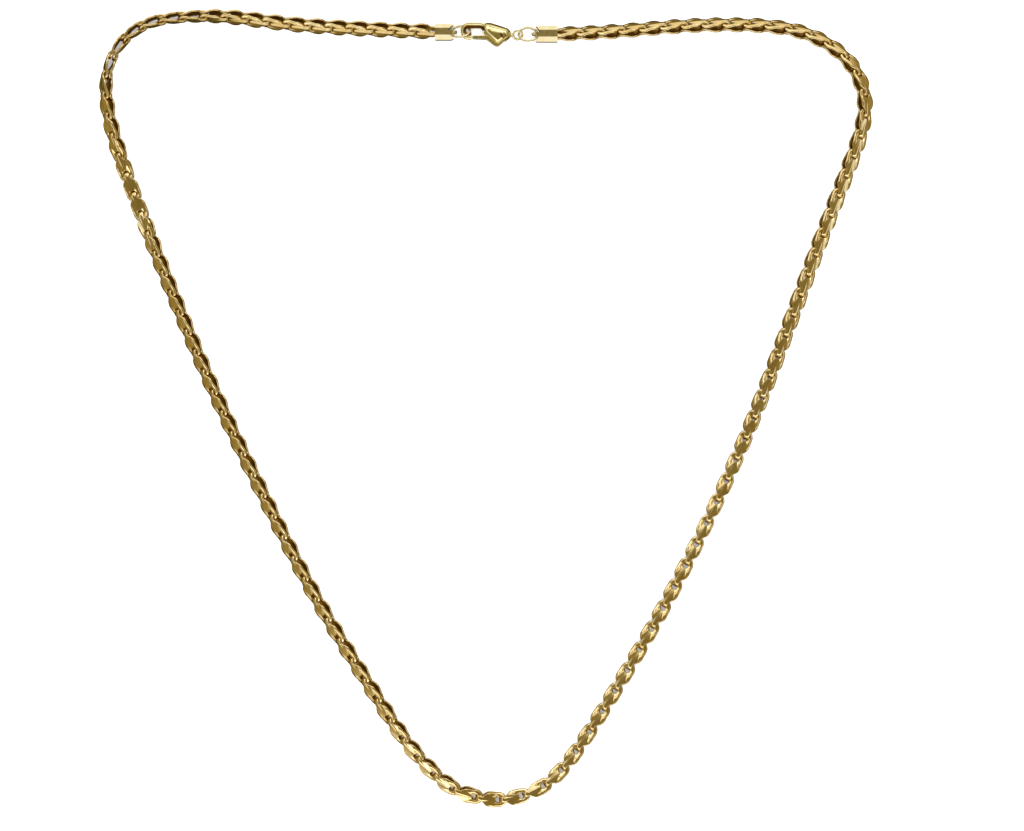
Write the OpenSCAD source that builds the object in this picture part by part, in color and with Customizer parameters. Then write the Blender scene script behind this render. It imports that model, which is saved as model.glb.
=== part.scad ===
// A plain V link neck chain of polished yellow gold, laid out flat and closed.
// +Z points up, +Y points from the lowest link towards the clasp, and the
// origin lies on the surface under the middle of the loop. Sizes are in mm.

/* [Chain] */
// Thickness of the flat plate that each link is bent from
link_t = 0.42; // [0.36:0.02:0.42]
// Width of the narrow neck between the two eyes of a link
neck_w = 1.15; // [1:0.05:1.2]
// Width of a link over its eyes
eye_w = 3; // [2.8:0.1:3]
// Height of the folded link over both sides of its neck
fold_h = 2.24; // [2.24:0.02:2.3]

/* [End caps] */
// Width of the square cap across its flats
cap_w = 3.3; // [3:0.1:3.5]
// Width of the bevel along each edge of the cap
cap_bevel = 0.95; // [0.8:0.05:1]
// Thickness of the flat eye at the end of the cap
eye_tab_t = 0.5; // [0.4:0.05:0.55]
// Radius of the hole through that eye
eye_hole_r = 0.78; // [0.75:0.01:0.8]
// Radius of the eye's rounded end
eye_tab_r = 1.2; // [1.15:0.05:1.3]

/* [Jump rings] */
// Radius of both jump rings at the middle of the wire
ring_r = 1.9; // [1.85:0.05:1.95]
// Radius of the ring wire
ring_wire_r = 0.25; // [0.2:0.01:0.27]
// How far the left ring leans out of the plane of the loop, degrees
ring_left_lean = 46; // [44:1:48]
// How far the right ring leans out of the plane of the loop, degrees
ring_right_lean = 38; // [36:1:40]

/* [Clasp] */
// Thickness of the shell of the clasp at its fattest place
shell_t = 3; // [2.8:0.1:3.2]
// Thickness of the hook
hook_t = 1; // [0.8:0.1:1]
// Thickness of the lever
lever_t = 1.1; // [0.9:0.1:1.1]
// Gap between the lever and the cheeks of the shell, each side
lever_gap = 0.12; // [0.1:0.02:0.2]
// Radius of the fixed pivot pin
pin_r = 0.25; // [0.2:0.01:0.27]
// Running gap between the pin and the bore of the lever
pin_gap = 0.05; // [0.03:0.01:0.08]
// How far the lever opens into the window, degrees
lever_open = 12; // [8:1:12]
// Radius of the clasp's own eye at the middle of its wire
tail_eye_r = 0.95; // [0.9:0.05:1]

/* [Hidden] */

gold = [0.83, 0.66, 0.29];
pale_gold = [0.90, 0.76, 0.42];

// Height of the middle of each cap and of the clasp row above the surface,
// and the distance of the row up the loop
cap_z = 1.75;
row_z = 1.8;
row_y = 76.9;

// The route of each strand from the mouth of its cap to the lowest link.
// The chain's line is a smooth curve drawn towards these points.
route_left = [[-10.5, 77], [-24.5, 77.5], [-42, 78.5], [-53.5, 80.5], [-65, 80],
              [-71, 78.5], [-76.5, 73.5], [-78.5, 65.5], [-76, 54], [-70.5, 39.5],
              [-63, 20.5], [-54.5, 0.5], [-44, -21], [-34.5, -40], [-23, -58],
              [-16.5, -68.5], [-10, -75.5], [-5, -79], [1.5, -80]];
route_right = [[14.5, 76.5], [27.5, 77], [41.5, 78.5], [58.5, 78.5], [67, 76.5],
               [74.5, 71.5], [77.5, 65], [77.5, 58.5], [74, 49], [67.5, 32.5],
               [61, 14.5], [53, -6.5], [43.5, -27], [34, -45], [24, -61.5],
               [17, -72.5], [11.5, -78], [4.5, -80], [1.5, -80]];

// Steps of the line between two of those points, how far it is drawn out into
// the caps, and where along it the first link's fold lies
route_steps = 6;
line_ext = 8;
first_fold = 5.6;

// How the chain lies along its line: [distance from the right cap, distance
// between two links, how far the chain is rolled over in degrees]
lie = [[0, 4.27, 50], [52, 4.27, 50], [68, 4.28, 40], [78, 4.3, 22], [103, 4.32, 14],
       [134, 4.5, 6], [166, 4.85, -6], [185, 4.9, -12], [225, 4.9, -12], [236, 4.9, 0],
       [248, 4.9, 25], [277, 4.85, 42], [330, 4.7, 45], [356, 4.35, 45], [372, 4.27, 45],
       [381, 4.27, 3], [389, 4.27, 0], [396, 4.27, 35], [405, 4.27, 50], [411, 4.27, 70],
       [417, 4.27, 90], [432, 4.27, 95], [444, 4.27, 124], [490, 4.27, 124]];
lie_pitch = [for (row = lie) [row[0], row[1]]];
lie_roll = [for (row = lie) [row[0], row[2]]];

// Places along the clasp row, from left to right
left_mouth_x = route_left[0][0];
right_mouth_x = route_right[0][0];
left_eye_x = -7.2;
right_eye_x = 10.4;
ring_left_x = left_eye_x + ring_r;
ring_right_x = right_eye_x - ring_r;

// How far a cap reaches past the middle of its eye, and the room that its notch
// leaves round the middle of the ring's wire
cap_past_eye = 0.45;
notch_room = 0.48;

// The left ring turns a little, from the eye of its cap to mid window.
window_rise = 0.35;
ring_left_turn = atan(window_rise / (2 * ring_r));

// The right cap and its ring lie a little lower than the clasp.
right_drop = 0.4;
tail_eye_x = 6.4;
tail_eye_drop = 0.6;
tail_eye_lean = 26;

// Outline of the clasp, measured from the middle of its row
hook_top = [-3.5, 0.2];
hook_top_r = 1.78;
hook_root = [0.3, 0.6];
hook_root_r = 1.25;
shoulder = [0.5, 0.45];
shoulder_r = shell_t / 2;
tail = [3.65, -0.4];
tail_r = 1.35;
belly = [2.3, -1.35];
belly_r = 1.3;
window_left = [-3.75, window_rise];
window_right = [-1.35, window_rise];
window_r = 0.98;
hook_tip_x = -3.05;
gate_top = -0.62;

// Outline of the lever: gate, arm and thumb pad
gate_tip = [-2.58, -1.05];
gate_tip_r = 0.36;
gate_root = [0.2, -1.1];
gate_root_r = 0.42;
pad = [2.1, -2.05];
pad_r = 0.85;
pivot = [3.6, -0.85];
pivot_boss_r = 0.7;

// Smooth curve drawn towards four neighbouring route points
function drawn(a, b, c, d, t) =
    (pow(1 - t, 3) * a + (3 * pow(t, 3) - 6 * t * t + 4) * b
     + (-3 * pow(t, 3) + 3 * t * t + 3 * t + 1) * c + pow(t, 3) * d) / 6;

function with_ends(p) =
    let (n = len(p))
    concat([2 * p[0] - p[1]], p, [2 * p[n - 1] - p[n - 2]]);

function strand_line(p) =
    let (q = with_ends(p))
    concat([for (i = [0:len(p) - 2]) for (k = [0:route_steps - 1])
               drawn(q[i], q[i + 1], q[i + 2], q[i + 3], k / route_steps)],
           [p[len(p) - 1]]);

// One line for both strands, from the right cap round the lowest point to the
// left cap, and drawn out straight a little way into both caps
function past(a, b) = a + line_ext * (a - b) / norm(a - b);

line_right = strand_line(route_right);
line_left = strand_line(route_left);
right_last = len(line_right) - 1;
bare_line = concat(line_right, [for (i = [len(line_left) - 2:-1:0]) line_left[i]]);
line_last = len(bare_line) - 1;
chain_line = concat([past(bare_line[0], bare_line[1])], bare_line,
                    [past(bare_line[line_last], bare_line[line_last - 1])]);

// How far along the line each of its points lies
line_at = [for (i = 0, d = -line_ext; i < len(chain_line);
                d = d + (i + 1 < len(chain_line) ? norm(chain_line[i + 1] - chain_line[i]) : 0),
                i = i + 1) d];
line_x = [for (i = [0:len(chain_line) - 1]) [line_at[i], chain_line[i][0]]];
line_y = [for (i = [0:len(chain_line) - 1]) [line_at[i], chain_line[i][1]]];
lowest_at = line_at[right_last + 1];
chain_len = line_at[line_last + 1];

function point_at(s) = [lookup(s, line_x), lookup(s, line_y)];
function heading_at(s) = let (d = point_at(s + 0.3) - point_at(s - 0.3)) d / norm(d);
function roll_at(s) = lookup(s, lie_roll);

// Height of the chain's middle where its lowest edge rests on the surface
function height_at(s) = fold_h / 2 * abs(cos(roll_at(s))) + eye_w / 2 * abs(sin(roll_at(s)));

// A point of a link: s along the line, a out of the link's plane, b across it
function placed(s, a, b) =
    let (r = roll_at(s), m = point_at(s), h = heading_at(s), side = a * sin(r) + b * cos(r))
    [m[0] - h[1] * side, m[1] + h[0] * side, height_at(s) + a * cos(r) - b * sin(r)];

// Where the fold of each link lies along the line
function folds_from(at) = at > chain_len + 0.6 ? [] : concat([at], folds_from(at + lookup(at, lie_pitch)));
fold_at = folds_from(first_fold);

// A link is a flat plate bent double. Each side has a neck, a shoulder and an
// eye, and dives inwards so that its head lies inside the link before it,
// whose fold passes through both eyes.
out = fold_h / 2;
head = 0.48;
dive_from = 2.3;
dive_to = 4.8;
widest_from = 2.3;

// Corners of one side of the plate: height of its outer face, half width and
// distance from the end of the fold, then height and distance of its inner face
plate_corners = [
    [out - 0.5, neck_w / 2, 0, out - 0.68, link_t],
    [out, neck_w / 2, 0.62, out - link_t, 0.75],
    [dived(widest_from), eye_w / 2 - 0.05, widest_from, dived(widest_from) - link_t, widest_from],
    [head, eye_w / 2, dive_to, head - link_t, dive_to],
    [head, 0.8, 6.4, head - link_t, 6.4],
    [dived(3.55), 0.35, 3.55, dived(3.55) - link_t, 3.55],
    [dived(4.2), 0.76, 4.2, dived(4.2) - link_t, 4.2],
    [head, 0.7, 5.8, head - link_t, 5.8]];
function dived(u) = out - (out - head) * max(0, u - dive_from) / (dive_to - dive_from);

function corner_id(e, g, p, face) = ((e * 2 + g) * len(plate_corners) + p) * 2 + face;

function link_corners(at) =
    [for (e = [1, -1]) for (g = [1, -1]) for (c = plate_corners) for (face = [0, 1])
        placed(at - c[face == 0 ? 2 : 4], e * c[face == 0 ? 0 : 3], g * c[1])];

// Patches of the outer face of one side as [corner, half] pairs. Corners 0 to 4
// run along the plate's edge, and 5 to 7 along the edge of its hole.
half_patches = [[2, 3, 6, 5], [3, 4, 7, 6]];
cross_patches = [[0, 1], [1, 2], [2, 5]];
half_edges = [[0, 1], [1, 2], [2, 3], [3, 4], [6, 5], [7, 6]];

function turned(f, yes) = yes ? [for (i = [len(f) - 1:-1:0]) f[i]] : f;
function split(f) = [[f[0], f[1], f[2]], [f[0], f[2], f[3]]];

function side_patches(e, face) =
    [for (f = concat(
        [for (g = [0, 1]) for (p = half_patches)
            turned([for (k = p) corner_id(e, g, k, face)], g == 1)],
        [for (p = cross_patches)
            [corner_id(e, 0, p[0], face), corner_id(e, 0, p[1], face),
             corner_id(e, 1, p[1], face), corner_id(e, 1, p[0], face)]],
        [[corner_id(e, 0, 4, face), corner_id(e, 1, 4, face),
          corner_id(e, 1, 7, face), corner_id(e, 0, 7, face)]]))
        turned(f, (e == 1) != (face == 1))];

function rim_patch(e, a, b, back) =
    turned([corner_id(e, b[1], b[0], 0), corner_id(e, a[1], a[0], 0),
            corner_id(e, a[1], a[0], 1), corner_id(e, b[1], b[0], 1)], back);

function side_rims(e) =
    concat([for (g = [0, 1]) for (k = half_edges)
               rim_patch(e, [k[0], g], [k[1], g], (g == 1) != (e == 1))],
           [rim_patch(e, [4, 0], [4, 1], e == 1),
            rim_patch(e, [5, 0], [5, 1], e == 1),
            rim_patch(e, [7, 1], [7, 0], e == 1)]);

// The flat end of the fold joins both sides.
fold_end = [for (face = [0, 1])
               turned([corner_id(1, 0, 0, face), corner_id(0, 0, 0, face),
                       corner_id(0, 1, 0, face), corner_id(1, 1, 0, face)], face == 1)];
fold_rims = [for (g = [0, 1])
                turned([corner_id(0, g, 0, 0), corner_id(1, g, 0, 0),
                        corner_id(1, g, 0, 1), corner_id(0, g, 0, 1)], g == 1)];
link_faces = [for (f = concat(side_patches(0, 0), side_patches(0, 1), side_patches(1, 0),
                              side_patches(1, 1), side_rims(0), side_rims(1),
                              fold_end, fold_rims))
                 each split(turned(f, true))];

// All links whose folds lie between two distances along the line, each one
// loose in the next
module links(first, last) {
    folds = [for (at = fold_at) if (at >= first && at < last) at];
    corners = 8 * len(plate_corners);
    polyhedron([for (at = folds) each link_corners(at)],
               [for (n = [0:len(folds) - 1]) for (f = link_faces) [for (k = f) k + n * corners]],
               convexity = 10);
}

module chain_left() {
    color(gold) links(lowest_at, chain_len + 1);
}

module chain_right() {
    color(gold) links(0, lowest_at);
}

// Eight-sided cap with a short slope at its end, where a round notch makes room
// for the ring. Its mouth is at the origin, and its eye lies at the given
// distance along X, in a flat tab in the middle of the notch.
module end_cap(eye_at, ring_lean) {
    half = cap_w / 2;
    diagonal = (cap_w - cap_bevel) * sqrt(2);
    body_len = eye_at + cap_past_eye;
    difference() {
        union() {
            difference() {
                intersection() {
                    translate([0, -half, -half]) cube([body_len, cap_w, cap_w]);
                    rotate([45, 0, 0]) translate([0, -diagonal / 2, -diagonal / 2])
                        cube([body_len, diagonal, diagonal]);
                    end_cap_shoulder(body_len, 0);
                    end_cap_shoulder(body_len, 90);
                }
                translate([eye_at + ring_r, 0, -cap_w]) linear_extrude(2 * cap_w)
                    scale([ring_r + notch_room, ring_r * cos(ring_lean) + notch_room])
                        circle(r = 1, $fn = 64);
            }
            translate([eye_at - 2 * notch_room, -eye_tab_t / 2, -eye_tab_r])
                cube([2 * notch_room, eye_tab_t, 2 * eye_tab_r]);
            translate([eye_at, eye_tab_t / 2, 0]) rotate([90, 0, 0])
                cylinder(r = eye_tab_r, h = eye_tab_t, $fn = 48);
        }
        translate([eye_at, eye_tab_t, 0]) rotate([90, 0, 0])
            cylinder(r = eye_hole_r, h = 2 * eye_tab_t, $fn = 48);
    }
}

// Prism that tapers the end of the cap in one plane
module end_cap_shoulder(body_len, turn) {
    slope_len = 0.4;
    half = cap_w / 2;
    narrow = half - 0.15;
    rotate([turn, 0, 0]) translate([0, 0, -cap_w])
        linear_extrude(2 * cap_w)
            polygon([[0, -half], [body_len - slope_len, -half], [body_len, -narrow],
                     [body_len, narrow], [body_len - slope_len, half], [0, half]]);
}

module end_cap_left() {
    color(pale_gold) translate([left_mouth_x, row_y, cap_z])
        end_cap(left_eye_x - left_mouth_x, ring_left_lean);
}

module end_cap_right() {
    color(pale_gold) translate([right_mouth_x, row_y - right_drop, cap_z]) mirror([1, 0, 0])
        end_cap(right_mouth_x - right_eye_x, ring_right_lean);
}

module wire_ring(r, wire_r) {
    rotate_extrude($fn = 96) translate([r, 0]) circle(r = wire_r, $fn = 24);
}

module jump_ring_left() {
    color(pale_gold) translate([ring_left_x, row_y + window_rise / 2, row_z])
        rotate([-ring_left_lean, 0, ring_left_turn]) wire_ring(ring_r, ring_wire_r);
}

module jump_ring_right() {
    color(pale_gold) translate([ring_right_x, row_y - right_drop, row_z])
        rotate([-ring_right_lean, 0, 0]) wire_ring(ring_r, ring_wire_r);
}

// The whole lever seen from above, with its bore left out
module lever_outline() {
    hull() {
        translate(gate_tip) circle(r = gate_tip_r, $fn = 32);
        translate(gate_root) circle(r = gate_root_r, $fn = 32);
    }
    hull() {
        translate(gate_root) circle(r = gate_root_r, $fn = 32);
        translate(pad) circle(r = pad_r, $fn = 32);
        translate(pivot) circle(r = pivot_boss_r, $fn = 32);
    }
}

// One round corner of the lever, shut and then fully open, with room around it
module swept_corner(at, r) {
    for (a = [0, lever_open + 2])
        translate(pivot) rotate(-a) translate(at - pivot)
            circle(r = r + lever_gap, $fn = 32);
}

// Space inside the shell for the gate and the thumb pad as they swing
module lever_slot() {
    slot_t = lever_t + 2 * lever_gap;
    translate([0, 0, -slot_t / 2]) linear_extrude(slot_t) {
        hull() {
            swept_corner(gate_tip, gate_tip_r);
            swept_corner(gate_root, gate_root_r);
        }
        hull() {
            swept_corner(gate_root, gate_root_r);
            swept_corner(pad, pad_r);
            swept_corner(pivot, pivot_boss_r);
        }
    }
}

// The flat claw: a bent band around the window, open where the gate closes it
module hook() {
    gate_room = 3.4;
    translate([0, 0, -hook_t / 2]) linear_extrude(hook_t) difference() {
        hull() {
            translate(hook_top) circle(r = hook_top_r, $fn = 64);
            translate(hook_root) circle(r = hook_root_r, $fn = 64);
        }
        translate([hook_tip_x, gate_top - 2]) square([gate_room, 2]);
    }
}

// The fat shell behind the window, rounded like a bean
module shell() {
    hull() {
        translate(shoulder) sphere(r = shoulder_r, $fn = 32);
        translate(tail) sphere(r = tail_r, $fn = 32);
        translate(belly) sphere(r = belly_r, $fn = 32);
    }
}

// The oval window, cut right through
module window_cut() {
    translate([0, 0, -shell_t]) linear_extrude(2 * shell_t) hull() {
        translate(window_left) circle(r = window_r, $fn = 48);
        translate(window_right) circle(r = window_r, $fn = 48);
    }
}

module clasp_body() {
    neck_r = 0.36;
    neck_x = 4.6;
    color(gold) translate([0, row_y, row_z]) {
        difference() {
            union() {
                hook();
                shell();
            }
            window_cut();
            lever_slot();
        }
        translate([pivot[0], pivot[1], -lever_t]) cylinder(r = pin_r, h = 2 * lever_t, $fn = 32);
        translate([tail_eye_x, -tail_eye_drop, 0]) rotate([tail_eye_lean, 0, 0])
            wire_ring(tail_eye_r, ring_wire_r);
        translate([neck_x, -tail_eye_drop, 0]) rotate([0, 90, 0])
            cylinder(r = neck_r, h = tail_eye_x - tail_eye_r - neck_x, $fn = 32);
    }
}

module clasp_lever() {
    color(pale_gold) translate([0, row_y, row_z]) translate([0, 0, -lever_t / 2])
        linear_extrude(lever_t) difference() {
            lever_outline();
            translate(pivot) circle(r = pin_r + pin_gap, $fn = 32);
        }
}

chain_left();
chain_right();
end_cap_left();
end_cap_right();
jump_ring_left();
jump_ring_right();
clasp_body();
clasp_lever();
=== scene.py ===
# A plain V link neck chain of polished yellow gold with a lobster clasp, closed and laid flat.
# After the camera, the card and the lights, each section is one piece or one group of like
# pieces, in the order in which the necklace is put together. Sizes are in metres.
from math import cos, pi, sin

import bmesh
import bpy
import numpy as np
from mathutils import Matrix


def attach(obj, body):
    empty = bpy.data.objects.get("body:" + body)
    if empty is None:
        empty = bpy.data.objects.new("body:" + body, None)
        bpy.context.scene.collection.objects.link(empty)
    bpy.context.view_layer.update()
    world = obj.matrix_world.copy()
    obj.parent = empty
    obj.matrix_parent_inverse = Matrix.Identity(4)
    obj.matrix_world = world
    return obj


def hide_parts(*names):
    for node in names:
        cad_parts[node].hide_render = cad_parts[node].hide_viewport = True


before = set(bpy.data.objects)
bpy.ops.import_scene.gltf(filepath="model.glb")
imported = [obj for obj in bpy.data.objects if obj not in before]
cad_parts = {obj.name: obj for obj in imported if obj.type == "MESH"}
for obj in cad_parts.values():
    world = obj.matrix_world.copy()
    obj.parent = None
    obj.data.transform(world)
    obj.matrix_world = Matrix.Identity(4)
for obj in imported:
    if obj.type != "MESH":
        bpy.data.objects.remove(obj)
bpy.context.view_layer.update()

# The camera looks straight down at the necklace, as the photograph does.
# Its height gives the photograph's scale, 4.895 pixels to the millimetre.
photo_width_px = 1024
photo_px_per_m = 4895
photo_middle = (0.00521, -0.00143)
chain_top_z = 0.002
view_width = photo_width_px / photo_px_per_m


def add_object(name, data):
    """An object that shows this data, put into the scene."""
    added = bpy.data.objects.new(name, data)
    bpy.context.scene.collection.objects.link(added)
    return added


camera_data = bpy.data.cameras.new("camera")
camera_data.lens = 100
camera_data.sensor_width = 36
camera = add_object("camera", camera_data)
camera.location = (*photo_middle, chain_top_z + view_width * camera_data.lens / camera_data.sensor_width)
bpy.context.scene.camera = camera
bpy.context.scene.view_settings.view_transform = "Standard"

# The necklace lies on a smooth white sheet, wide enough to fill every view.
# It is plain card, lit from all round until it shows no shadow.
floor_half = 1.5
floor_corners = [(x * floor_half, y * floor_half, 0) for x, y in ((-1, -1), (1, -1), (1, 1), (-1, 1))]
floor_data = bpy.data.meshes.new("floor")
floor_data.from_pydata(floor_corners, [], [(0, 1, 2, 3)])
floor = add_object("floor", floor_data)
white_card = bpy.data.materials.new("white_card")
white_card.use_nodes = True
card = white_card.node_tree.nodes["Principled BSDF"]
card.inputs["Base Color"].default_value = (0.92, 0.92, 0.92, 1)
card.inputs["Roughness"].default_value = 0.9
floor_data.materials.append(white_card)
floor.visible_glossy = False

# A light tent of dim warm cloth stands round and over the necklace, with a white band high up.
# Faces that look straight up reflect the warm cloth as a darker gold. Each row below is a height,
# from -1 straight down to 1 straight up, the brightness there and the cloth's colour.
warm_cloth, white_cloth = (1.0, 0.78, 0.28), (1.0, 1.0, 1.0)
tent_heights = [
    (-1.0, 0.06, warm_cloth), (-0.6, 0.12, warm_cloth), (-0.2, 0.33, warm_cloth),
    (0.1, 0.34, warm_cloth), (0.44, 0.22, warm_cloth), (0.53, 0.95, white_cloth),
    (0.65, 0.95, white_cloth), (0.73, 0.30, warm_cloth), (1.0, 0.20, warm_cloth),
]


def feed(tree, socket, value):
    """Gives a node's socket a plain value, or joins it to another node's output."""
    if isinstance(value, bpy.types.NodeSocket):
        tree.links.new(value, socket)
    else:
        socket.default_value = value


def number_step(tree, operation, *inputs):
    """One step of arithmetic on numbers in a node tree."""
    step = tree.nodes.new("ShaderNodeMath")
    step.operation = operation
    for socket, value in zip(step.inputs, inputs):
        feed(tree, socket, value)
    return step.outputs["Value"]


def vector_step(tree, operation, *inputs):
    """One step of arithmetic on places or colours in a node tree."""
    step = tree.nodes.new("ShaderNodeVectorMath")
    step.operation = operation
    for socket, value in zip(step.inputs, inputs):
        feed(tree, socket, value)
    return step.outputs["Value" if operation in ("DOT_PRODUCT", "DISTANCE", "LENGTH") else "Vector"]


def change_over(tree, value, start, stop, before=0.0, after=1.0, smooth=True):
    """A number that changes from before to after while the value goes from start to stop."""
    step = tree.nodes.new("ShaderNodeMapRange")
    step.interpolation_type = "SMOOTHSTEP" if smooth else "LINEAR"
    for name, given in (
        ("Value", value), ("From Min", start), ("From Max", stop), ("To Min", before), ("To Max", after),
    ):
        feed(tree, step.inputs[name], given)
    return step.outputs["Result"]


light_tent = bpy.data.worlds.new("light_tent")
light_tent.use_nodes = True
bpy.context.scene.world = light_tent
tent = light_tent.node_tree
tent_place = tent.nodes.new("ShaderNodeTexCoord")
tent_direction = tent.nodes.new("ShaderNodeSeparateXYZ")
tent_cloth = tent.nodes.new("ShaderNodeValToRGB")
feed(tent, tent_direction.inputs[0], tent_place.outputs["Generated"])
to_right, to_back, upward = (tent_direction.outputs[axis] for axis in "XYZ")
feed(tent, tent_cloth.inputs["Fac"], change_over(tent, upward, -1, 1, smooth=False))
stops = tent_cloth.color_ramp.elements
while len(stops) < len(tent_heights):
    stops.new(0.5)
for stop, (height, light, tint) in zip(stops, tent_heights):
    stop.position = (height + 1) / 2
    stop.color = (*(light * share for share in tint), 1)

# White walls with a brighter strip above them stand in front of the necklace and behind it, and
# the bevels of the caps reflect them. A soft window overhead, a little behind, lights the clasp.
wall_light, strip_light, window_light = 0.68, 1.4, 1.1
aside = number_step(tent, "ABSOLUTE", to_right)
front_or_back = number_step(tent, "ABSOLUTE", to_back)


def tent_patch(light, *borders):
    """Light from one part of the tent. Each border is a direction, where it is dark and where full."""
    for direction, dark, full in borders:
        light = number_step(tent, "MULTIPLY", change_over(tent, direction, dark, full), light)
    return light


walls = tent_patch(wall_light, (front_or_back, 0.55, 0.95), (upward, -0.28, -0.17), (upward, 0.50, 0.15))
strip = tent_patch(strip_light, (front_or_back, 0.45, 0.65), (upward, 0.44, 0.53), (upward, 0.73, 0.65))
window = tent_patch(
    window_light, (to_back, 0.21, 0.30), (to_back, 0.66, 0.54), (aside, 0.32, 0.14), (upward, 0.5, 0.7)
)
tent_light = tent_cloth.outputs["Color"]
for patch in (walls, strip, window):
    tent_light = vector_step(tent, "ADD", tent_light, patch)
feed(tent, tent.nodes["Background"].inputs["Color"], tent_light)

# A wide soft box overhead lights the card alone, so that it stays pure white.
# The gold doesn't mirror it.
softbox_side, softbox_height, softbox_power = 1.2, 0.9, 22
softbox_data = bpy.data.lights.new("softbox", "AREA")
softbox_data.size = softbox_side
softbox_data.energy = softbox_power
softbox = add_object("softbox", softbox_data)
softbox.location = (0, 0, softbox_height)
softbox.visible_glossy = False

# The chain's line, from the right cap round the lowest link and up to the left cap. Both strands
# follow it: every link lies along it and is turned about it. Its points are in millimetres.
mm = 0.001
route_right = [
    (14.5, 76.5), (27.5, 77), (41.5, 78.5), (58.5, 78.5), (67, 76.5), (74.5, 71.5), (77.5, 65),
    (77.5, 58.5), (74, 49), (67.5, 32.5), (61, 14.5), (53, -6.5), (43.5, -27), (34, -45),
    (24, -61.5), (17, -72.5), (11.5, -78), (4.5, -80), (1.5, -80),
]
route_left = [
    (-10.5, 77), (-24.5, 77.5), (-42, 78.5), (-53.5, 80.5), (-65, 80), (-71, 78.5), (-76.5, 73.5),
    (-78.5, 65.5), (-76, 54), (-70.5, 39.5), (-63, 20.5), (-54.5, 0.5), (-44, -21), (-34.5, -40),
    (-23, -58), (-16.5, -68.5), (-10, -75.5), (-5, -79), (1.5, -80),
]


def smooth_line(route, steps=24):
    """The smooth curve drawn towards the route's points, from its first point to its last."""
    points = np.array(route) * mm
    points = np.vstack([2 * points[0] - points[1], points, 2 * points[-1] - points[-2]])
    t = (np.arange(steps) / steps)[:, None]
    pulls = ((1 - t) ** 3, 3 * t**3 - 6 * t**2 + 4, -3 * t**3 + 3 * t**2 + 3 * t + 1, t**3)
    spans = [
        sum(pull * point for pull, point in zip(pulls, near)) / 6
        for near in zip(points, points[1:], points[2:], points[3:])
    ]
    return np.vstack([*spans, points[-2]])


def distances(line):
    """How far each of a line's points is along it from the first."""
    return np.concatenate([[0], np.cumsum(np.linalg.norm(np.diff(line, axis=0), axis=1))])


line_right = smooth_line(route_right)
line_left = smooth_line(route_left)[::-1]
chain_line = np.vstack([line_right, line_left[1:]])
chain_at = distances(chain_line)
chain_length = chain_at[-1]
lowest_at = chain_at[len(line_right) - 1]


def place_on_line(at):
    """Where the chain's line is at these distances along it, and which way it runs there."""
    beyond = at - np.clip(at, 0, chain_length)
    here = np.stack([np.interp(at, chain_at, chain_line[:, k]) for k in (0, 1)], 1)
    slope = np.gradient(chain_line, chain_at, axis=0)
    along = np.stack([np.interp(at, chain_at, slope[:, k]) for k in (0, 1)], 1)
    along /= np.linalg.norm(along, axis=1)[:, None]
    return here + beyond[:, None] * along, along


# One V link: a domed plate with a long eye at each end and a narrow neck
# between them, bent double into a U. Stamped from flat gold and rounded over.
link_thickness = 0.00042
link_dome = 0.00020
link_edge_r = 0.00010
link_neck_w = 0.00115
link_neck_flare = 0.00010
link_neck_gap = 0.00005
link_eye_r = 0.00150
link_hole_r = 0.00062
# Along the link from its fold: the middle of each eye's near end, the far end, the hole's two
# ends, and where the legs begin and end to dive inwards
link_eye_low = 0.00305
link_reach = 0.00640
link_hole_span = (0.0041, 0.0056)
link_dive = (0.0032, 0.0052)
# Out from the middle of the link: to the outside of its legs near the fold and of its eyes
link_outer = 0.00112
link_inner = 0.00063
link_fold_r = 0.00105
curve_steps = 24
eye_steps = 14
neck_steps = 2
fold_steps = 5
weld_gap = 0.000004


def link_sheet(w, v):
    """The middle of the bent plate at w along it from the fold and v across it: out, along, lean."""
    side = np.where(w < 0, -1.0, 1.0)
    w = np.abs(w)
    half_t = link_thickness / 2
    bar = link_outer - link_fold_r
    bend_r = link_fold_r - half_t
    bend_length = bend_r * pi / 2
    turned = np.clip((w - bar) / bend_r, 0, pi / 2)
    out = np.minimum(w, bar) + bend_r * np.sin(turned)
    along = half_t + bend_r * (1 - np.cos(turned)) + np.maximum(w - bar - bend_length, 0)
    dive = np.clip((along - link_dive[0]) / (link_dive[1] - link_dive[0]), 0, 1)
    drop = link_outer - link_inner
    out = out - drop * (3 - 2 * dive) * dive**2 - link_dome * (v / link_eye_r) ** 2
    slope = -drop * 6 * (1 - dive) * dive / (link_dive[1] - link_dive[0])
    lean = np.where(turned < pi / 2, turned - pi / 2, np.arctan2(-slope, 1))
    return side * out, along, np.where(side < 0, pi - lean, lean)


def evenly(line, steps):
    """The same line through steps + 1 points at even distances."""
    run = distances(line)
    at = np.linspace(0, run[-1], steps + 1)
    return np.stack([np.interp(at, run, line[:, k]) for k in (0, 1)], 1)


def round_points(middle, radius, turn):
    """Points on a circle, or on two half circles if the middle changes with the turn."""
    return np.stack([middle + radius * np.cos(turn), radius * np.sin(turn)], 1)


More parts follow.
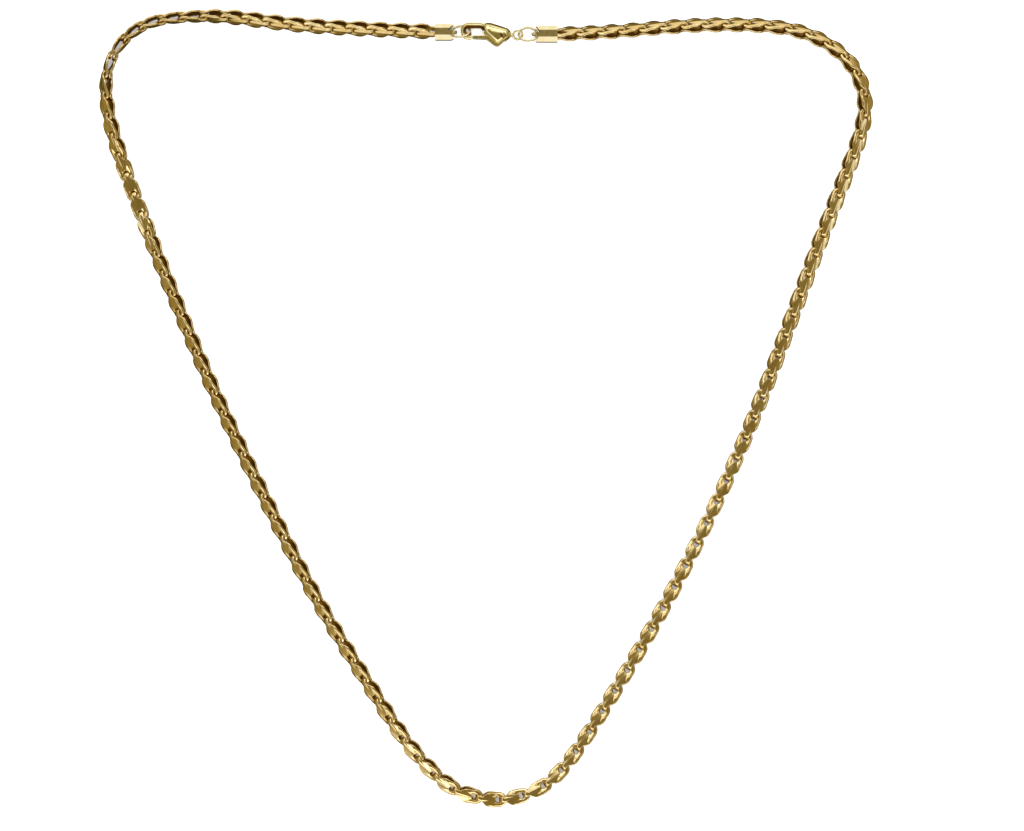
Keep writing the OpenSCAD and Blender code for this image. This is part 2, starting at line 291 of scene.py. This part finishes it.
def link_edges():
    """Half of one end of the plate: its outer edge, the hole's edge and the neck's edge."""
    bend_gain = (link_fold_r - link_thickness / 2) * (pi / 2 - 1)
    flat_start = link_outer - link_fold_r + bend_gain - link_thickness / 2
    neck_v = link_neck_w / 2
    low, high = flat_start + link_eye_low, flat_start + link_reach - link_eye_r
    head = np.linspace(0, pi / 2, curve_steps)
    shoulder = np.linspace(pi / 2, pi - np.arcsin((neck_v + link_neck_flare) / link_eye_r), curve_steps)
    outer = evenly(np.concatenate([
        round_points(high, link_eye_r, head),
        round_points(low, link_eye_r, shoulder),
        [(low - link_eye_r - link_neck_gap, neck_v)],
    ]), eye_steps)
    low, high = (flat_start + end for end in link_hole_span)
    turn = np.linspace(0, pi, 2 * curve_steps)
    middle = np.where(turn < pi / 2, high - link_hole_r, low + link_hole_r)
    hole = evenly(round_points(middle, link_hole_r, turn), eye_steps)
    neck_w = np.concatenate([
        np.linspace(outer[-1, 0], flat_start + link_fold_r, neck_steps + 1)[1:],
        np.linspace(flat_start + link_fold_r, link_outer - link_fold_r, fold_steps + 1)[1:],
        [0],
    ])
    neck = np.stack([neck_w, np.full(len(neck_w), neck_v)], 1)
    return outer, hole, neck


def link_shape():
    """One V link, its fold at zero and its eyes along +Z: corners, faces and which faces are hidden
    inside, to be painted in shade.
    """
    outer, hole, neck = link_edges()
    half_t, edge = link_thickness / 2, link_edge_r

    def inward(line, ahead, behind):
        """Which way leads into the plate at each of a line's points, judged by its neighbours."""
        run = np.vstack([ahead, line, behind])
        d = run[2:] - run[:-2]
        n = np.stack([-d[:, 1], d[:, 0]], 1)
        return n / np.linalg.norm(n, axis=1)[:, None]

    rim = np.vstack([outer, neck])
    rim_in = inward(rim, outer[1] * (1, -1), neck[-2] * (-1, 1))
    hole_in = -inward(hole, hole[1] * (1, -1), hole[-2] * (1, -1))
    corners, faces, hidden = [], [], []

    def put(w, v, depth):
        """One corner, this deep off the middle of the plate."""
        out, along, lean = link_sheet(np.array([w]), v)
        corners.append((out[0] + depth * cos(lean[0]), v, along[0] + depth * sin(lean[0])))
        return len(corners) - 1

    def rounded_edge(end, side, place, turn_in, from_front):
        """Four corners across the plate's edge here, from its front to its back or the other way."""
        steps = [(edge, half_t), (0, half_t - edge), (0, edge - half_t), (edge, -half_t)]
        return [
            put(end * (place + inset * turn_in)[0], side * (place + inset * turn_in)[1], depth)
            for inset, depth in (steps if from_front else steps[::-1])
        ]

    inner_face, middle_of_neck, hole_wall = 3, 4, (4, 5)
    for end in (1, -1):
        for side in (1, -1):
            slices = []
            for k, (place, turn_in) in enumerate(zip(rim, rim_in)):
                cut = rounded_edge(end, side, place, turn_in, True)
                if k <= eye_steps:
                    cut += rounded_edge(end, side, hole[k], hole_in[k], False)
                else:
                    cut += [put(end * place[0], 0, -half_t), put(end * place[0], 0, half_t)]
                slices.append(cut)
            for k, (cut, next_cut) in enumerate(zip(slices, slices[1:])):
                at_hole = k < eye_steps
                if len(cut) > len(next_cut):
                    cut = [*cut[:middle_of_neck + 1], cut[-1]]
                for j in range(len(cut)):
                    if not at_hole and j == middle_of_neck:
                        continue
                    after = (j + 1) % len(cut)
                    faces.append((cut[j], cut[after], next_cut[after], next_cut[j]))
                    # Inner faces and hole walls are marked here to be painted in shade.
                    hidden.append(j == inner_face or (at_hole and j in hole_wall))
    welded = bmesh.new()
    loose = [welded.verts.new(corner) for corner in corners]
    for face, inside in zip(faces, hidden):
        welded.faces.new([loose[i] for i in face]).material_index = int(inside)
    bmesh.ops.remove_doubles(welded, verts=welded.verts, dist=weld_gap)
    bmesh.ops.recalc_face_normals(welded, faces=welded.faces)
    welded.verts.index_update()
    corners = np.array([corner.co for corner in welded.verts])
    faces = [[corner.index for corner in face.verts] for face in welded.faces]
    hidden = [face.material_index for face in welded.faces]
    welded.free()
    return corners, faces, hidden


# The links of both strands, from the right cap round to the left. Each link's fold passes through
# both eyes of the next, and all lie the same way up. Each row below is a distance from the right
# cap and the pitch of the links there in millimetres, and how far the chain is rolled in degrees.
lie = [
    (0, 4.27, 50), (52, 4.27, 50), (68, 4.28, 40), (78, 4.3, 22), (103, 4.32, 14), (134, 4.5, 6),
    (166, 4.85, -6), (185, 4.9, -12), (225, 4.9, -12), (236, 4.9, 0), (248, 4.9, 25), (277, 4.85, 42),
    (330, 4.7, 45), (356, 4.35, 45), (372, 4.27, 45), (381, 4.27, 3), (389, 4.27, 0), (396, 4.27, 35),
    (405, 4.27, 50), (411, 4.27, 70), (417, 4.27, 90), (432, 4.27, 95), (444, 4.27, 124), (490, 4.27, 124),
]
lie_at, lie_pitch, lie_roll = (np.array(lie) * (mm, mm, 1)).T
first_fold, past_line_end = 0.0056, 0.0006
large_face_weight = 80


def fold_places():
    """How far each link's fold is along the chain's line. The last may lie a little past its end."""
    folds = []
    at = first_fold
    while at < chain_length + past_line_end:
        folds.append(at)
        at += np.interp(at, lie_at, lie_pitch)
    return folds


def lay_links(folds):
    """The links with these folds as one set of corners and faces, each bent and rolled with the line."""
    shape, shape_faces, shape_hidden = link_shape()
    out, across, along_link = shape.T
    places, faces, hidden = [], [], []
    for k, fold in enumerate(folds):
        middle, along = place_on_line(fold - along_link)
        roll = np.radians(np.interp(fold - along_link, lie_at, lie_roll))
        side = out * np.sin(roll) + across * np.cos(roll)
        up = out * np.cos(roll) - across * np.sin(roll)
        height = link_outer * np.abs(np.cos(roll)) + link_eye_r * np.abs(np.sin(roll))
        places.append(np.stack([
            middle[:, 0] - along[:, 1] * side, middle[:, 1] + along[:, 0] * side, height + up,
        ], 1))
        faces += [[k * len(shape) + i for i in face] for face in shape_faces]
        hidden += shape_hidden
    return np.vstack(places), faces, hidden


def node_group(name, kind, inputs, outputs):
    """An empty node group with these named inputs and outputs, and the sockets for them inside it."""
    group = bpy.data.node_groups.new(name, kind)
    for way, sockets in (("INPUT", inputs), ("OUTPUT", outputs)):
        for socket, what in sockets:
            group.interface.new_socket(socket, in_out=way, socket_type="NodeSocket" + what)
    return group, group.nodes.new("NodeGroupInput").outputs, group.nodes.new("NodeGroupOutput").inputs


def polish_group():
    """Polished metal that has been handled: soft clouds of colour and fine rub marks."""
    group, given, result = node_group(
        "handled_polish", "ShaderNodeTree",
        inputs=(
            ("Bright Colour", "Color"), ("Deep Colour", "Color"),
            ("Cloud Size", "Float"), ("Rub Size", "Float"), ("Rub Depth", "Float"),
            ("Smoothest", "Float"), ("Roughest", "Float"),
        ),
        outputs=(("Colour", "Color"), ("Roughness", "Float"), ("Normal", "Vector")),
    )
    place = group.nodes.new("ShaderNodeTexCoord").outputs["Object"]

    def noise(size, detail):
        """Cloudy noise with spots of about this size."""
        field = group.nodes.new("ShaderNodeTexNoise")
        field.inputs["Scale"].default_value = 1
        field.inputs["Detail"].default_value = detail
        feed(group, field.inputs["Vector"], vector_step(group, "DIVIDE", place, size))
        return field.outputs["Fac"]

    clouds, rubs = noise(given["Cloud Size"], detail=2), noise(given["Rub Size"], detail=4)
    tint = group.nodes.new("ShaderNodeMix")
    tint.data_type = "RGBA"
    cloud_edges, rub_edges = (0.35, 0.65), (0.3, 0.7)
    feed(group, tint.inputs["Factor"], change_over(group, clouds, *cloud_edges, smooth=False))
    feed(group, tint.inputs["A"], given["Bright Colour"])
    feed(group, tint.inputs["B"], given["Deep Colour"])
    feed(group, result["Colour"], tint.outputs["Result"])
    dullness = change_over(group, rubs, *rub_edges, given["Smoothest"], given["Roughest"], smooth=False)
    feed(group, result["Roughness"], dullness)
    dents = group.nodes.new("ShaderNodeBump")
    feed(group, dents.inputs["Height"], rubs)
    feed(group, dents.inputs["Distance"], given["Rub Depth"])
    feed(group, result["Normal"], dents.outputs["Normal"])
    return group


handled_polish = polish_group()


def gold_material(name, bright, deep, cloud_size, rub_size, smoothest, roughest, rub_depth):
    """A gold with the shared handled polish, at this finish's own values."""
    gold = bpy.data.materials.new(name)
    gold.use_nodes = True
    polish = gold.node_tree.nodes.new("ShaderNodeGroup")
    polish.node_tree = handled_polish
    for socket, value in (
        ("Bright Colour", (*bright, 1)), ("Deep Colour", (*deep, 1)),
        ("Cloud Size", cloud_size), ("Rub Size", rub_size), ("Rub Depth", rub_depth),
        ("Smoothest", smoothest), ("Roughest", roughest),
    ):
        polish.inputs[socket].default_value = value
    shader = gold.node_tree.nodes["Principled BSDF"]
    shader.inputs["Metallic"].default_value = 1.0
    for socket, source in (("Base Color", "Colour"), ("Roughness", "Roughness"), ("Normal", "Normal")):
        feed(gold.node_tree, shader.inputs[socket], polish.outputs[source])
    return gold


chain_gold = gold_material(
    "chain_gold", bright=(0.92, 0.75, 0.42), deep=(0.84, 0.64, 0.29),
    cloud_size=0.004, rub_size=0.0006, smoothest=0.08, roughest=0.18, rub_depth=0.000004,
)
# Painted shade: a darker brown gold on the links' inner faces and hole walls, standing for the shade
# between the links.
chain_painted_shade = gold_material(
    "chain_painted_shade", bright=(0.55, 0.33, 0.08), deep=(0.40, 0.22, 0.04),
    cloud_size=0.0015, rub_size=0.0004, smoothest=0.30, roughest=0.50, rub_depth=0.000006,
)

all_folds = fold_places()
for name, node, folds in (
    ("chain_right_links", "chain_right", [fold for fold in all_folds if fold < lowest_at]),
    ("chain_left_links", "chain_left", [fold for fold in all_folds if fold >= lowest_at]),
):
    corners, faces, hidden = lay_links(folds)
    data = bpy.data.meshes.new(name)
    data.from_pydata(corners.tolist(), [], faces)
    data.shade_smooth()
    data.materials.append(chain_gold)
    # The second material paints shade on the inner faces and hole walls.
    data.materials.append(chain_painted_shade)
    data.polygons.foreach_set("material_index", hidden)
    strand = add_object(name, data)
    flat_faces = strand.modifiers.new("flat_faces", "WEIGHTED_NORMAL")
    flat_faces.weight = large_face_weight
    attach(strand, "necklace")
    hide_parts(node)

# The caps have their edges rounded off a little, and each is fixed over the end of its strand. The jump
# rings, round wire of the same gold, join the caps to the clasp. Their gold is paler than the chain's, a
# painted highlight that makes them show brighter.
cap_edge_r, cap_edge_steps = 0.00010, 3
# Paler than the chain's gold: a painted highlight on the caps and rings.
fitting_gold = gold_material(
    "fitting_gold", bright=(0.99, 0.93, 0.70), deep=(0.96, 0.86, 0.56),
    cloud_size=0.003, rub_size=0.0007, smoothest=0.10, roughest=0.18, rub_depth=0.000003,
)


def cast_copy(name, node, body, finish):
    """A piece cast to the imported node's own shape, which it then stands for."""
    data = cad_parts[node].data.copy()
    data.name = name
    data.materials.clear()
    data.materials.append(finish)
    piece = add_object(name, data)
    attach(piece, body)
    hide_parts(node)
    return piece


for side in ("left", "right"):
    cap = cast_copy("bevelled_cap_" + side, "end_cap_" + side, "necklace", fitting_gold)
    rounding = cap.modifiers.new("rounded_edges", "BEVEL")
    rounding.width = cap_edge_r
    rounding.segments = cap_edge_steps
    rounding.limit_method = "ANGLE"
    rounding.harden_normals = True
    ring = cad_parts["jump_ring_" + side]
    ring.data.materials.clear()
    ring.data.materials.append(fitting_gold)

# The clasp's hook and hollow shell are one casting and its lever another, which turns on a pin in the
# shell. Both are yellow gold, tumbled and polished until no sharp edge is left. Their gold is paler than
# the chain's, a painted highlight that makes the clasp show brighter.
casting_grain = 0.00006
tumbling = 0.5
clasp_gold = gold_material(
    "clasp_gold", bright=(0.98, 0.91, 0.54), deep=(0.94, 0.81, 0.38),
    cloud_size=0.003, rub_size=0.0007, smoothest=0.10, roughest=0.20, rub_depth=0.000003,
)
castings = {}
for name, node, body, rounds in (
    ("clasp_casting", "clasp_body", "necklace", 24),
    ("lever_casting", "clasp_lever", "lever", 8),
):
    castings[name] = cast_copy(name, node, body, clasp_gold)
    skin = castings[name].modifiers.new("casting_skin", "REMESH")
    skin.mode = "VOXEL"
    skin.voxel_size = casting_grain
    skin.use_smooth_shade = True
    tumbled = castings[name].modifiers.new("tumbled", "SMOOTH")
    tumbled.factor = tumbling
    tumbled.iterations = rounds

# Thin dark lines of painted shade: one along the upper edge of the clasp's back, where the top turns down,
# and two in the V-shaped notch over its pin. Each row below is a line's start, end and half width.
line_shade_colour = (0.16, 0.08, 0.02, 1)
clasp_lines = [
    ((-0.0002, 0.0785, 0), (0.0044, 0.0777, 0), 0.00018),
    ((0.0029, 0.0763, 0), (0.0034, 0.0756, 0), 0.00030),
    ((0.0040, 0.0761, 0), (0.0034, 0.0756, 0), 0.00030),
]
flatten = (1.0, 1.0, 0.0)


def shade_line_group():
    """A thin line on a face from one point to another, as a mask for painted shade."""
    group, given, result = node_group(
        "shade_line", "ShaderNodeTree",
        inputs=(("Start", "Vector"), ("End", "Vector"), ("Width", "Float")),
        outputs=(("Mask", "Float"),),
    )
    place = group.nodes.new("ShaderNodeTexCoord").outputs["Object"]
    here = vector_step(group, "MULTIPLY", place, flatten)
    from_start = vector_step(group, "SUBTRACT", here, given["Start"])
    run = vector_step(group, "SUBTRACT", given["End"], given["Start"])
    along = vector_step(group, "DOT_PRODUCT", from_start, run)
    share = number_step(group, "DIVIDE", along, vector_step(group, "DOT_PRODUCT", run, run))
    share.node.use_clamp = True
    away = vector_step(group, "SUBTRACT", from_start, vector_step(group, "MULTIPLY", run, share))
    distance = vector_step(group, "LENGTH", away)
    feed(group, result["Mask"], change_over(group, distance, 0, given["Width"], 1, 0))
    return group


shade_line = shade_line_group()
clasp_shading = clasp_gold.node_tree
clasp_colour = clasp_shading.nodes["Principled BSDF"].inputs["Base Color"]
for start, end, half_width in clasp_lines:
    line = clasp_shading.nodes.new("ShaderNodeGroup")
    line.node_tree = shade_line
    line.inputs["Start"].default_value = start
    line.inputs["End"].default_value = end
    line.inputs["Width"].default_value = half_width
    # Painted shade: each line darkens the clasp's colour.
    line_shade = clasp_shading.nodes.new("ShaderNodeMix")
    line_shade.data_type = "RGBA"
    line_shade.inputs["B"].default_value = line_shade_colour
    feed(clasp_shading, line_shade.inputs["Factor"], line.outputs["Mask"])
    feed(clasp_shading, line_shade.inputs["A"], clasp_colour.links[0].from_socket)
    feed(clasp_shading, clasp_colour, line_shade.outputs["Result"])

# The clasp's casting isn't flat. Its shell swells towards the belly, over and under the lever, and
# the hook's band round the window is domed: full in its middle and thin at its edges.
belly_middle, belly_reach = (0.0026, 0.0751, 0.0018), (0.0036, 0.0034, 1.0)
belly_swell = 0.36
height_only = (0.0, 0.0, 1.0)
window_ends_x, window_y = (-0.00375, -0.00135), 0.07725
band_middle, band_half, band_thinning = 0.00138, 0.00042, -0.5
band_start_x, band_full_x = -0.0003, -0.0010


def belly_group():
    """The swell of the shell and the dome of the hook's band, as a move of each corner up or down."""
    group, given, result = node_group(
        "swollen_belly", "GeometryNodeTree",
        inputs=(("Geometry", "Geometry"),), outputs=(("Geometry", "Geometry"),),
    )
    place = group.nodes.new("GeometryNodeInputPosition").outputs[0]
    away = vector_step(group, "SUBTRACT", place, belly_middle)
    depth = vector_step(group, "MULTIPLY", away, height_only)
    share = vector_step(group, "MULTIPLY", vector_step(group, "DIVIDE", away, belly_reach), flatten)
    share_squared = vector_step(group, "DOT_PRODUCT", share, share)
    swelling = change_over(group, share_squared, 0, 1, belly_swell, 0, smooth=False)
    swell = vector_step(group, "MULTIPLY", depth, swelling)

    window_left, window_right = ((x, window_y, 0.0) for x in window_ends_x)
    flat_place = vector_step(group, "MULTIPLY", place, flatten)
    nearest = vector_step(group, "MAXIMUM", flat_place, window_left)
    nearest = vector_step(group, "MINIMUM", nearest, window_right)
    from_window = vector_step(group, "DISTANCE", flat_place, nearest)
    across_band = change_over(group, from_window, band_middle, band_middle + band_half, smooth=False)
    across_band.node.clamp = False
    dome = number_step(group, "MULTIPLY", across_band, across_band)
    thinning = change_over(group, dome, 0, 1, 0, band_thinning, smooth=False)
    place_parts = group.nodes.new("ShaderNodeSeparateXYZ")
    feed(group, place_parts.inputs[0], place)
    on_hook = change_over(group, place_parts.outputs["X"], band_start_x, band_full_x)
    thinned = vector_step(group, "MULTIPLY", vector_step(group, "MULTIPLY", depth, thinning), on_hook)

    moved = group.nodes.new("GeometryNodeSetPosition")
    feed(group, moved.inputs["Geometry"], given["Geometry"])
    feed(group, moved.inputs["Offset"], vector_step(group, "ADD", swell, thinned))
    feed(group, result["Geometry"], moved.outputs["Geometry"])
    return group


swollen = castings["clasp_casting"].modifiers.new("swollen_belly", "NODES")
swollen.node_group = belly_group()

# The wall of the hook's window is cast with it and slopes in to a waist from both faces. Its dark brown
# colour is painted shade inside the hook, and the wall ends where the lever's gate shuts the hook.
window_z, hook_tip_x = 0.0018, -0.00310
window_r, waist_r, waist_overlap = 0.00098, 0.00042, 0.00003
slope_height, waist_height = 0.00020, 0.00006
waist_steps = 36
upper_slope = [
    (window_r + waist_overlap, slope_height),
    (window_r - waist_overlap, slope_height),
    (waist_r, waist_height),
]
waist_section = upper_slope + [(r, -height) for r, height in reversed(upper_slope)]
turns = np.linspace(0, 1.5 * pi, waist_steps + 1)
waist_line = [(window_ends_x[0 if cos(turn) < 0 else 1], turn) for turn in turns]
waist_line.append((hook_tip_x, turns[-1]))
waist_corners = [
    (x + r * cos(turn), window_y + r * sin(turn), window_z + height)
    for r, height in waist_section
    for x, turn in waist_line
]
places, rows = len(waist_line), len(waist_section)
waist_faces = [
    (k * places + i, k * places + i + 1, (k + 1) % rows * places + i + 1, (k + 1) % rows * places + i)
    for k in range(rows)
    for i in range(places - 1)
]
waist_faces.append([k * places for k in reversed(range(rows))])
waist_faces.append([k * places + places - 1 for k in range(rows)])
# Painted shade: a dark brown gold for the wall inside the hook's window.
window_painted_shade = gold_material(
    "window_painted_shade", bright=(0.26, 0.13, 0.04), deep=(0.18, 0.08, 0.02),
    cloud_size=0.0015, rub_size=0.0004, smoothest=0.30, roughest=0.50, rub_depth=0.000006,
)
waist_data = bpy.data.meshes.new("window_waist")
waist_data.from_pydata(waist_corners, [], waist_faces)
waist_data.materials.append(window_painted_shade)
waist = add_object("window_waist", waist_data)
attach(waist, "necklace")
